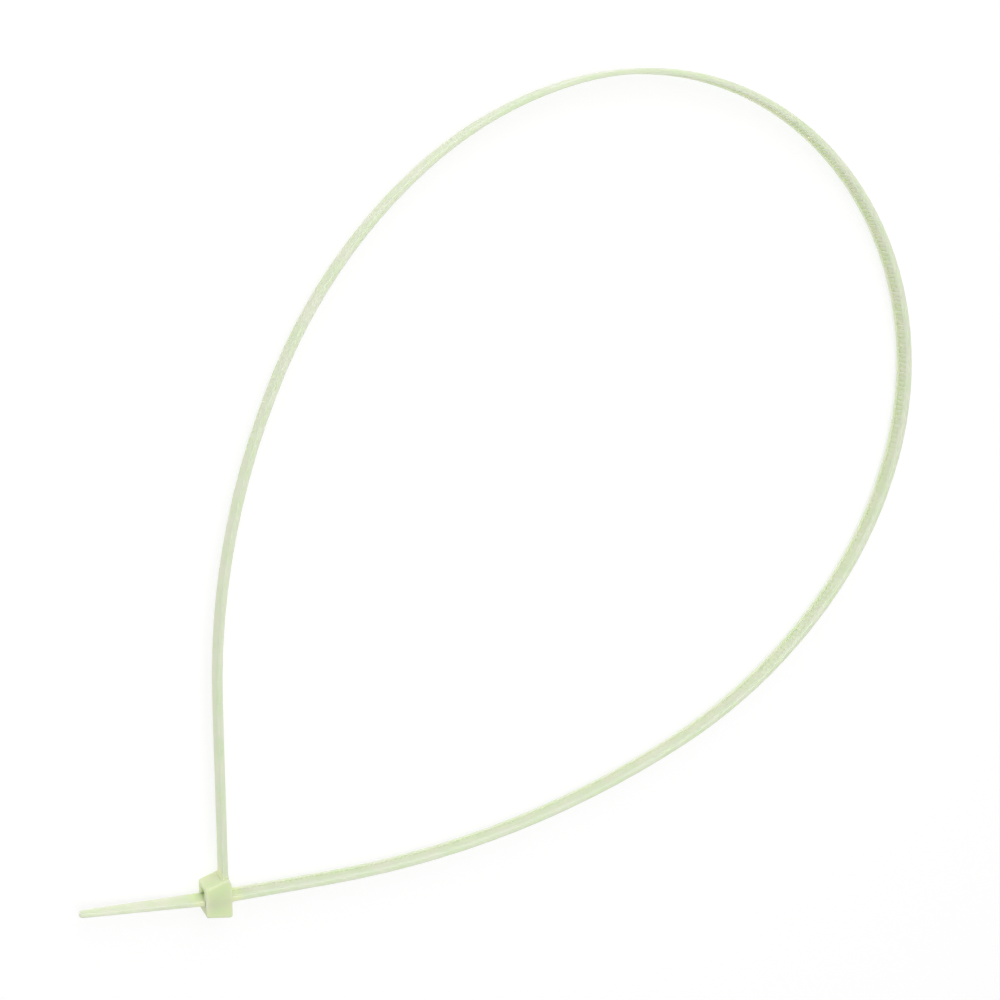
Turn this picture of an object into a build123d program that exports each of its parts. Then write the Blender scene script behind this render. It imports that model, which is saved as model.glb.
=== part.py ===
from build123d import *
from math import cos, radians, sin, sqrt, tan
import os

# A nylon duct tie, closed into a loose drop-shaped loop and lying on its side.
# It is moulded as one piece: head, pawl, strap and tail are one solid.
# Millimetres. The strap leaves the head along +Y, bends round clockwise and comes back
# through the head's slot along -X. +Z is up, out of the plane of the loop.
# The origin is on the head's side face, the one it lies on, beside the middle of the slot.

# Strap
tie_length = 914.0            # end of the head to tip of the tail, as if laid straight
strap_width = 7.6
strap_thickness = 1.8
outer_edge_radius = 0.5       # edges of the strap's plain outer face
inner_edge_chamfer = 0.2      # edges of its toothed inner face

# Loop
duct_radius = 108.8           # inside of the loop's round end
round_end_turn = 120.0        # degrees of true circle at the round end
# Radius of each tangent arc of a flank against that of a springy strip, from the head on.
root_flank_ratios = (0.96, 1.13, 1.10)
slot_flank_ratios = (1.24, 1.11, 1.06)

# Teeth on the inner side of the strap
tooth_pitch = 1.8
tooth_channel_width = 4.6
tooth_crest_depth = 0.15      # below the strap's inner face
tooth_valley_depth = 0.85
plain_root_length = 14.0      # strap without teeth next to the head

# Tail
tail_lift = 3.2               # degrees that the strap bends up in the slot's exit half
tail_tip_width = 4.2
tail_tip_thickness = 1.2

# Head
head_width = 10.2
head_depth = 8.8              # from the entry face to the exit face, along the slot
head_length = 13.7            # from the end face to the crest of the shoulder
end_wall = 4.65               # between the slot and the end face, at the entry side
end_slope = 9.0               # degrees that the end face leans in towards the exit side
shoulder_slope = 18.6         # degrees that the shoulder falls towards the exit side
root_inset = 0.85             # strap's inner face behind the entry face
root_throat = 2.2             # how far the entry face stops short of the crest
head_corner_radius = 0.8      # edges across the strap
head_rim_radius = 0.5         # edges round the two side faces
neck_foot = 0.6               # how far the strap flares out where it meets the shoulder
neck_height = 1.0             # how high the flare climbs on the strap
neck_overlap = 0.2            # how deep the flare's ends are sunk in strap and head

# Slot and pawl
slot_clearance = 0.3          # between the strap and the slot, on every side
slot_lead_in = 0.4            # flare of the slot's mouth at the entry face
pawl_teeth = 3
pawl_clearance = 0.1          # between the pawl's teeth and the strap's
pawl_side_clearance = 0.15    # between the pawl and the walls of the strap's channel
pawl_tip_inset = 1.4          # pawl's free end behind the exit face
pawl_top = 3.0                # pawl's back, above the middle of the strap
hinge_thickness = 0.7
hinge_wall = 1.5              # wall at the entry side that carries the pawl
relief_height = 1.0           # room behind the pawl to swing back
relief_side_clearance = 0.35

half_thickness = strap_thickness / 2
loop_radius = duct_radius + half_thickness      # middle of the strap at the round end
entry_x, exit_x = head_depth / 2, -head_depth / 2
crest_x = entry_x - root_inset                  # in line with the strap's inner face
root_x = crest_x - half_thickness
slot_half_height = half_thickness + slot_clearance
end_y = -slot_half_height - end_wall
crest_y = end_y + head_length
root_y = crest_y - strap_width / 2              # the strap starts this deep in the head
pawl_half_width = tooth_channel_width / 2 - pawl_side_clearance


def springy_radius(turned):
    """Radius of a springy strip held only at its ends, once it has turned some degrees."""
    return loop_radius / sqrt(1 - (1 - turned / 135) ** 2)


def flank(ratios):
    """Radius and turn of each arc of a flank, from the head on."""
    step = (270 - round_end_turn) / 2 / len(ratios)
    return [(ratio * springy_radius((i + 0.5) * step), step) for i, ratio in enumerate(ratios)]


def loop_arcs(start):
    """Tangent arcs round the loop, 270 degrees clockwise, from a start that heads +Y."""
    turns = flank(root_flank_ratios)
    turns += [(loop_radius, round_end_turn)]
    turns += reversed(flank(slot_flank_ratios))
    arcs = []
    here, heading = Vector(start), Vector(0, 1)
    for radius, turn in turns:
        arcs.append(JernArc(here, heading, radius, -turn))
        here, heading = arcs[-1] @ 1, arcs[-1] % 1
    return arcs


def strap_line():
    """Middle line of the strap, from its root in the head to the slot's exit."""
    # The straight ends take up what the arcs leave open, so the loop always closes.
    open_end = loop_arcs((root_x, root_y))[-1] @ 1
    bend_start = (root_x, root_y - open_end.Y)
    arcs = loop_arcs(bend_start)
    bend_radius = -exit_x / sin(radians(tail_lift))
    return Wire([
        Line((root_x, root_y), bend_start),
        *arcs,
        Line(arcs[-1] @ 1, (0, 0)),
        JernArc((0, 0), (-1, 0), bend_radius, -tail_lift),
    ])


body_line = strap_line()
tail_length = tie_length - head_length + crest_y - root_y - body_line.length
tail_line = Line(body_line @ 1, body_line @ 1 + body_line % 1 * tail_length)
pawl_tip = body_line.length - pawl_tip_inset    # along the strap, from its root


def on_strap(distance, offset):
    """Point at a distance along the strap, offset from its middle towards the inside."""
    spot = body_line.position_at(distance, PositionMode.LENGTH)
    along = body_line.tangent_at(distance, PositionMode.LENGTH)
    return Vector(spot.X + along.Y * offset, spot.Y - along.X * offset)


def sawtooth(first, count, lift):
    """Zigzag line of teeth. Each tooth has its steep face towards the strap's root."""
    valley = half_thickness - tooth_valley_depth + lift
    crest = half_thickness - tooth_crest_depth + lift
    points = []
    for i in range(count):
        face = first + i * tooth_pitch
        points += [on_strap(face, valley), on_strap(face, crest)]
    return points


def across(line, at):
    """Plane across a line, whose X points to the inside of the loop."""
    along = line % at
    return Plane(line @ at, x_dir=along.cross(Vector(0, 0, 1)), z_dir=along)


def strap_profile(thickness, width):
    """Section of the strap, with its inner face towards +X."""
    profile = Rectangle(thickness, width)
    profile = fillet(profile.vertices().group_by(Axis.X)[0], outer_edge_radius)
    return chamfer(profile.vertices().group_by(Axis.X)[-1], inner_edge_chamfer)


def make_strap():
    """Strap with two plain rails and a channel of teeth between them."""
    profile = strap_profile(strap_thickness, strap_width)
    strap = sweep(across(body_line, 0) * profile, path=body_line)
    count = int((pawl_tip - plain_root_length) / tooth_pitch) + 1
    first = pawl_tip - (count - 1) * tooth_pitch
    last = first + count * tooth_pitch
    outside = half_thickness + strap_thickness
    chords = int(loop_radius)
    back = [on_strap(last + (first - last) * i / chords, outside) for i in range(chords + 1)]
    channel = Polyline(*sawtooth(first, count, 0), *back, close=True)
    return strap - extrude(make_face(channel), tooth_channel_width / 2, both=True)


def make_tail():
    """Plain tail that tapers from the full strap to a thin, narrow, rounded tip."""
    root = across(tail_line, 0) * strap_profile(strap_thickness, strap_width)
    tip = across(tail_line, 1) * strap_profile(tail_tip_thickness, tail_tip_width)
    tip_radius = tail_tip_width / 2
    along = tail_line % 1
    upright = Plane(
        tail_line @ 1 - along * tip_radius,
        x_dir=along,
        z_dir=along.cross(Vector(0, 0, 1)),
    )
    corners = Pos(tip_radius, 0) * Box(2 * tip_radius, strap_width, strap_width)
    corners -= Cylinder(tip_radius, strap_width)
    return loft([root, tip]) - upright * corners


def make_head():
    """Locking head with its sloped shoulder and leaning end face, before it is hollowed."""
    profile = Polyline(
        (entry_x, end_y),
        (entry_x, crest_y - root_throat),
        (crest_x, crest_y),
        (exit_x, crest_y - (crest_x - exit_x) * tan(radians(shoulder_slope))),
        (exit_x, end_y + head_depth * tan(radians(end_slope))),
        close=True,
    )
    head = extrude(make_face(profile), head_width / 2, both=True)
    head = fillet(head.edges().filter_by(Axis.Z), head_corner_radius)
    rims = head.faces().filter_by(Axis.Z).edges()
    return fillet(rims, head_rim_radius)


def make_neck():
    """Flare that carries the strap's outer face and edges over into the shoulder."""
    lean = Rot(0, 0, shoulder_slope) * Rot(90, 0, 0)
    depth = strap_thickness / cos(radians(shoulder_slope))

    def section(rise, spread):
        # It fades out towards the crest, where the strap is flush with the head.
        crest_side, crest_half = -neck_overlap, strap_width / 2 - neck_overlap
        outer_side, outer_half = -depth - spread, strap_width / 2 + spread
        shape = Polygon(
            (crest_side, crest_half),
            (crest_side, -crest_half),
            (outer_side, -outer_half),
            (outer_side, outer_half),
            align=None,
        )
        return Pos(crest_x, crest_y + rise) * lean * shape

    # On the inner face a ramp runs on from the slope above the entry.
    throat_x = (crest_x + entry_x) / 2
    ramp = Polyline(
        (crest_x - neck_overlap, crest_y + neck_height),
        (crest_x, crest_y + neck_height),
        (throat_x, crest_y - root_throat / 2),
        (crest_x - neck_overlap, crest_y - root_throat),
        close=True,
    )
    flare = loft([section(-neck_overlap, neck_foot), section(neck_height, -neck_overlap)])
    inner_half = strap_width / 2 - 2 * inner_edge_chamfer
    return flare + extrude(make_face(ramp), inner_half, both=True)


def make_hollow():
    """Slot for the strap, its flared mouth, and the room behind the pawl."""
    slot_width = strap_width + 2 * slot_clearance
    slot = Box(2 * head_depth, 2 * slot_half_height, slot_width)
    inner = Plane.YZ.offset(entry_x - slot_lead_in)
    outer = Plane.YZ.offset(entry_x + slot_lead_in)
    flare = 4 * slot_lead_in
    mouth = loft([
        inner * Rectangle(2 * slot_half_height, slot_width),
        outer * Rectangle(2 * slot_half_height + flare, slot_width + flare),
    ])
    relief_depth = entry_x - hinge_wall - 2 * exit_x
    relief_top = pawl_top + relief_height
    relief = Pos(2 * exit_x + relief_depth / 2, relief_top / 2) * Box(
        relief_depth, relief_top, 2 * (pawl_half_width + relief_side_clearance)
    )
    return slot + mouth + relief


def make_pawl():
    """Toothed pawl that hangs by a thin hinge from the wall beside the entry."""
    first = pawl_tip - pawl_clearance - pawl_teeth * tooth_pitch
    teeth = sawtooth(first, pawl_teeth + 1, pawl_clearance)[1:-1]
    tip_x = teeth[-1].X
    hinge_x = entry_x - hinge_wall
    profile = Polyline(
        *teeth,
        (tip_x, pawl_top - hinge_thickness),
        (tip_x + hinge_thickness, pawl_top),
        (hinge_x + hinge_thickness, pawl_top),
        (hinge_x + hinge_thickness, pawl_top - hinge_thickness),
        (hinge_x, pawl_top - hinge_thickness),
        close=True,
    )
    return extrude(make_face(profile), pawl_half_width, both=True)


duct_tie = make_head() - make_hollow() + make_pawl() + make_neck() + make_strap() + make_tail()
duct_tie = Pos(0, 0, head_width / 2) * duct_tie

os.makedirs("parts", exist_ok=True)
export_step(duct_tie, "parts/duct_tie.step")
print("tail", tail_length, "volume", duct_tie.volume, "valid", duct_tie.is_valid)
print("round end at", body_line.edges()[len(root_flank_ratios) + 1].arc_center)
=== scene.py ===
from math import cos, radians, sin

import bpy
from mathutils import Matrix, Vector


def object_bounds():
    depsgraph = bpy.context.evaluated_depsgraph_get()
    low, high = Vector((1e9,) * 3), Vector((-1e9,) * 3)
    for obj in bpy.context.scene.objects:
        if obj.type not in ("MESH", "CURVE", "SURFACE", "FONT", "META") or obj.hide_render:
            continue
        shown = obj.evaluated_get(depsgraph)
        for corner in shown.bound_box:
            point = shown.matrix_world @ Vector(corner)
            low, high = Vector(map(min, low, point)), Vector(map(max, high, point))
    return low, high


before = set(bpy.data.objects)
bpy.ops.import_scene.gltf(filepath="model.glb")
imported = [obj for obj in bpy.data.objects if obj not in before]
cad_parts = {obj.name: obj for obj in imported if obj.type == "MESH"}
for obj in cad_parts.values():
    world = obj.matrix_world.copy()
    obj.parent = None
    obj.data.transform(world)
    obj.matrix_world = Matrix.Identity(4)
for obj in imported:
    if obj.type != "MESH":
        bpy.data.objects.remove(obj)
cad_low, cad_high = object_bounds()

# A nylon duct tie in a loose loop, lying on a white light table.
# Lengths are in metres and angles in degrees, unless a line says otherwise.
WHITE = (1.0, 1.0, 1.0)
MIDDLE_HEIGHT = (cad_low.z + cad_high.z) / 2    # of the head and of the strap on its edge

# Camera, worked out from the loop's perspective
VIEW_HEADING = -27.27         # horizontal direction of the view, from +X towards +Y
VIEW_DIP = 63.54              # how far it looks down
VIEW_ROLL = -115.02           # turn of the picture about the line of sight
VIEW_DISTANCE = 0.57204
AIM = Vector((0.10192, 0.12573, MIDDLE_HEIGHT))    # the point in the middle of the picture
LENS = 60.84                  # millimetres
SENSOR = 36.0                 # its width in millimetres
CLIP_START = 0.01

# Nylon
GREEN = (0.645, 0.755, 0.515)    # the two colours of its faint patches
IVORY = (0.712, 0.755, 0.578)
PATCH_BLEND = (0.35, 0.65)    # values of the noise at which green starts to turn and is all ivory
PATCH_SCALE = 150.0           # cells of the noise in a metre
PATCH_DETAIL = 4.0
GRAIN_SCALE = 2400.0
GRAIN_DETAIL = 2.0
GRAIN_HEIGHT = 0.00004
GRAIN_STRENGTH = 0.25
ROUGHNESS = (0.42, 0.58)      # where the grain is 0 and where it is 1
DEPTH_BY_COLOUR = (1.0, 1.0, 0.8)    # blue light goes less deep than red and green
SPECULAR = 0.2
IOR = 1.53

# The head's walls are thick, so they look yellower and let less light through. Its colour is also
# painted brighter: painted light that makes up for the light its thick body swallows.
HEAD_MIDDLE = Vector((0.0, 0.001, MIDDLE_HEIGHT))
HEAD_REACH = 0.0075           # from the head's middle to where its look starts to fade out
HEAD_FADE = 0.0025            # over this length
HEAD_YELLOW_AND_PAINTED_LIGHT = (1.10, 1.09, 0.98)
HEAD_DEPTH = 0.0025           # how far light goes into the head
STRAP_DEPTH = 0.005           # and into the strap

# The strap's rails and edges are painted a little darker than the middle of its faces. This is
# painted shade that tones down their highlights beside the shaded tooth channel.
RAIL_START = 0.0021           # above and below the middle, where the painted shade sets in
RAIL_FULL = 0.0033            # and where it is at its full strength
RAIL_PAINTED_SHADE = (0.94, 0.96, 0.97)

# Light table, sky and lights
FLOOR_SIZE = 40.0
FLOOR_GREY = 0.35
FLOOR_ROUGHNESS = 0.8
FLOOR_GLOW = 0.68
SKY_STRENGTH = 0.28
LIGHT_SIZE = 1.4
LIGHTS = {                    # place, and power in watts
    "above": (Vector((0.1, 0.12, 1.2)), 8.4),
    "far": (Vector((0.1, 1.15, 0.6)), 6.2),
    "left": (Vector((-1.0, 0.12, 0.6)), 1.1),
    "right": (Vector((0.85, -0.65, 0.6)), 0.8),
}


def node(tree, kind, inputs=None, **settings):
    """Adds one shader node, sets its properties, and links or sets its inputs."""
    made = tree.nodes.new(kind)
    for name, value in settings.items():
        setattr(made, name, value)
    for name, value in (inputs or {}).items():
        if isinstance(value, bpy.types.NodeSocket):
            tree.links.new(value, made.inputs[name])
        else:
            made.inputs[name].default_value = value
    return made


def ramp(tree, factor, low, low_colour, high, high_colour):
    """Blends from one colour to another between two values of a factor."""
    made = node(tree, "ShaderNodeValToRGB", {"Fac": factor})
    ends = ((low, low_colour), (high, high_colour))
    for element, (position, colour) in zip(made.color_ramp.elements, ends):
        element.position = position
        element.color = (*colour, 1)
    return made.outputs["Color"]


def strap_share(tree, place):
    """Factor that is 0 in the head and 1 on the strap."""
    apart = node(tree, "ShaderNodeVectorMath", {0: place, 1: HEAD_MIDDLE}, operation="DISTANCE")
    return node(tree, "ShaderNodeMapRange", {
        "Value": apart.outputs["Value"],
        "From Min": HEAD_REACH,
        "From Max": HEAD_REACH + HEAD_FADE,
    }).outputs["Result"]


def rail_painted_shade_share(tree, place, strap):
    """Factor for the painted shade: 1 on the strap's rails and edges, and 0 between them and in
    the head.
    """
    height = node(tree, "ShaderNodeSeparateXYZ", {"Vector": place}).outputs["Z"]
    rise = node(tree, "ShaderNodeMath", {0: height, 1: MIDDLE_HEIGHT}, operation="SUBTRACT")
    side = node(tree, "ShaderNodeMath", {0: rise.outputs["Value"]}, operation="ABSOLUTE")
    return node(tree, "ShaderNodeMapRange", {
        "Value": side.outputs["Value"],
        "From Min": RAIL_START,
        "From Max": RAIL_FULL,
        "To Max": strap,
    }).outputs["Result"]


def nylon_colour(tree, place, strap):
    """Faint patches of green and ivory; yellower in the head, with painted light that brightens
    it, and painted shade on the rails.
    """
    patches = node(tree, "ShaderNodeTexNoise", {
        "Vector": place, "Scale": PATCH_SCALE, "Detail": PATCH_DETAIL,
    })
    colour = ramp(tree, patches.outputs["Fac"], PATCH_BLEND[0], GREEN, PATCH_BLEND[1], IVORY)
    # painted shade: the rails and edges darker, to tone down their highlights
    rail_painted_shade = ramp(tree, rail_painted_shade_share(tree, place, strap), 0.0, WHITE, 1.0, RAIL_PAINTED_SHADE)
    # the head's yellower cast, with painted light that brightens it
    head_yellow_and_painted_light = ramp(tree, strap, 0.0, HEAD_YELLOW_AND_PAINTED_LIGHT, 1.0, WHITE)
    for tone in (rail_painted_shade, head_yellow_and_painted_light):
        mixed = node(tree, "ShaderNodeVectorMath", {0: colour, 1: tone}, operation="MULTIPLY")
        colour = mixed.outputs["Vector"]
    return colour


def nylon_material():
    """Uncoloured nylon: waxy and translucent, with a pale green-ivory cast."""
    material = bpy.data.materials.new("natural_nylon")
    material.use_nodes = True
    tree = material.node_tree
    shader = tree.nodes["Principled BSDF"]
    place = node(tree, "ShaderNodeTexCoord").outputs["Object"]
    strap = strap_share(tree, place)
    tree.links.new(nylon_colour(tree, place, strap), shader.inputs["Base Color"])

    grain = node(tree, "ShaderNodeTexNoise", {
        "Vector": place, "Scale": GRAIN_SCALE, "Detail": GRAIN_DETAIL,
    })
    sheen = node(tree, "ShaderNodeMapRange", {
        "Value": grain.outputs["Fac"], "To Min": ROUGHNESS[0], "To Max": ROUGHNESS[1],
    })
    tree.links.new(sheen.outputs["Result"], shader.inputs["Roughness"])
    bump = node(tree, "ShaderNodeBump", {
        "Height": grain.outputs["Fac"], "Strength": GRAIN_STRENGTH, "Distance": GRAIN_HEIGHT,
    })
    tree.links.new(bump.outputs["Normal"], shader.inputs["Normal"])

    depth = node(tree, "ShaderNodeMapRange", {
        "Value": strap, "To Min": HEAD_DEPTH, "To Max": STRAP_DEPTH,
    })
    tree.links.new(depth.outputs["Result"], shader.inputs["Subsurface Scale"])
    shader.inputs["Subsurface Weight"].default_value = 1.0
    shader.inputs["Subsurface Radius"].default_value = DEPTH_BY_COLOUR
    shader.inputs["Specular IOR Level"].default_value = SPECULAR
    shader.inputs["IOR"].default_value = IOR
    return material


def dress():
    """Gives the tie its nylon."""
    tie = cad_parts["duct_tie"]
    tie.data.materials.clear()
    tie.data.materials.append(nylon_material())


def make_floor():
    """White light table, whose glow keeps the shadows faint."""
    bpy.ops.mesh.primitive_plane_add(size=FLOOR_SIZE, location=(0, 0, cad_low.z))
    floor = bpy.context.object
    floor.name = "floor"
    material = bpy.data.materials.new("floor")
    material.use_nodes = True
    shader = material.node_tree.nodes["Principled BSDF"]
    shader.inputs["Base Color"].default_value = (FLOOR_GREY, FLOOR_GREY, FLOOR_GREY, 1)
    shader.inputs["Roughness"].default_value = FLOOR_ROUGHNESS
    shader.inputs["Emission Color"].default_value = (*WHITE, 1)
    shader.inputs["Emission Strength"].default_value = FLOOR_GLOW
    floor.data.materials.append(material)


def aim(thing, spot, roll=0.0):
    """Turns a light or camera at a place towards a spot."""
    along = (spot - thing.location).normalized()
    turn = along.to_track_quat("-Z", "Y").to_matrix() @ Matrix.Rotation(roll, 3, "Z")
    thing.rotation_euler = turn.to_euler()


def make_light(name, spot, power):
    """Round soft light at a spot, aimed at the middle of the picture."""
    light = bpy.data.lights.new(name, "AREA")
    light.shape = "DISK"
    light.size = LIGHT_SIZE
    light.energy = power
    lamp = bpy.data.objects.new(name, light)
    bpy.context.scene.collection.objects.link(lamp)
    lamp.location = spot
    aim(lamp, AIM)


def make_camera():
    """Looks down at AIM from the -X side of the loop."""
    heading, dip = radians(VIEW_HEADING), radians(VIEW_DIP)
    ahead = Vector((cos(heading) * cos(dip), sin(heading) * cos(dip), -sin(dip)))
    lens = bpy.data.cameras.new("camera")
    lens.lens = LENS
    lens.sensor_width = SENSOR
    lens.clip_start = CLIP_START
    camera = bpy.data.objects.new("camera", lens)
    bpy.context.scene.collection.objects.link(camera)
    camera.location = AIM - ahead * VIEW_DISTANCE
    aim(camera, AIM, -radians(VIEW_ROLL))
    bpy.context.scene.camera = camera


def make_world():
    """Even white sky that fills in what the lights leave dark."""
    world = bpy.data.worlds.new("studio")
    world.use_nodes = True
    sky = world.node_tree.nodes["Background"]
    sky.inputs["Color"].default_value = (*WHITE, 1)
    sky.inputs["Strength"].default_value = SKY_STRENGTH
    bpy.context.scene.world = world
    bpy.context.scene.view_settings.view_transform = "Standard"


dress()
make_floor()
make_world()
for name, (spot, power) in LIGHTS.items():
    make_light(name, spot, power)
make_camera()
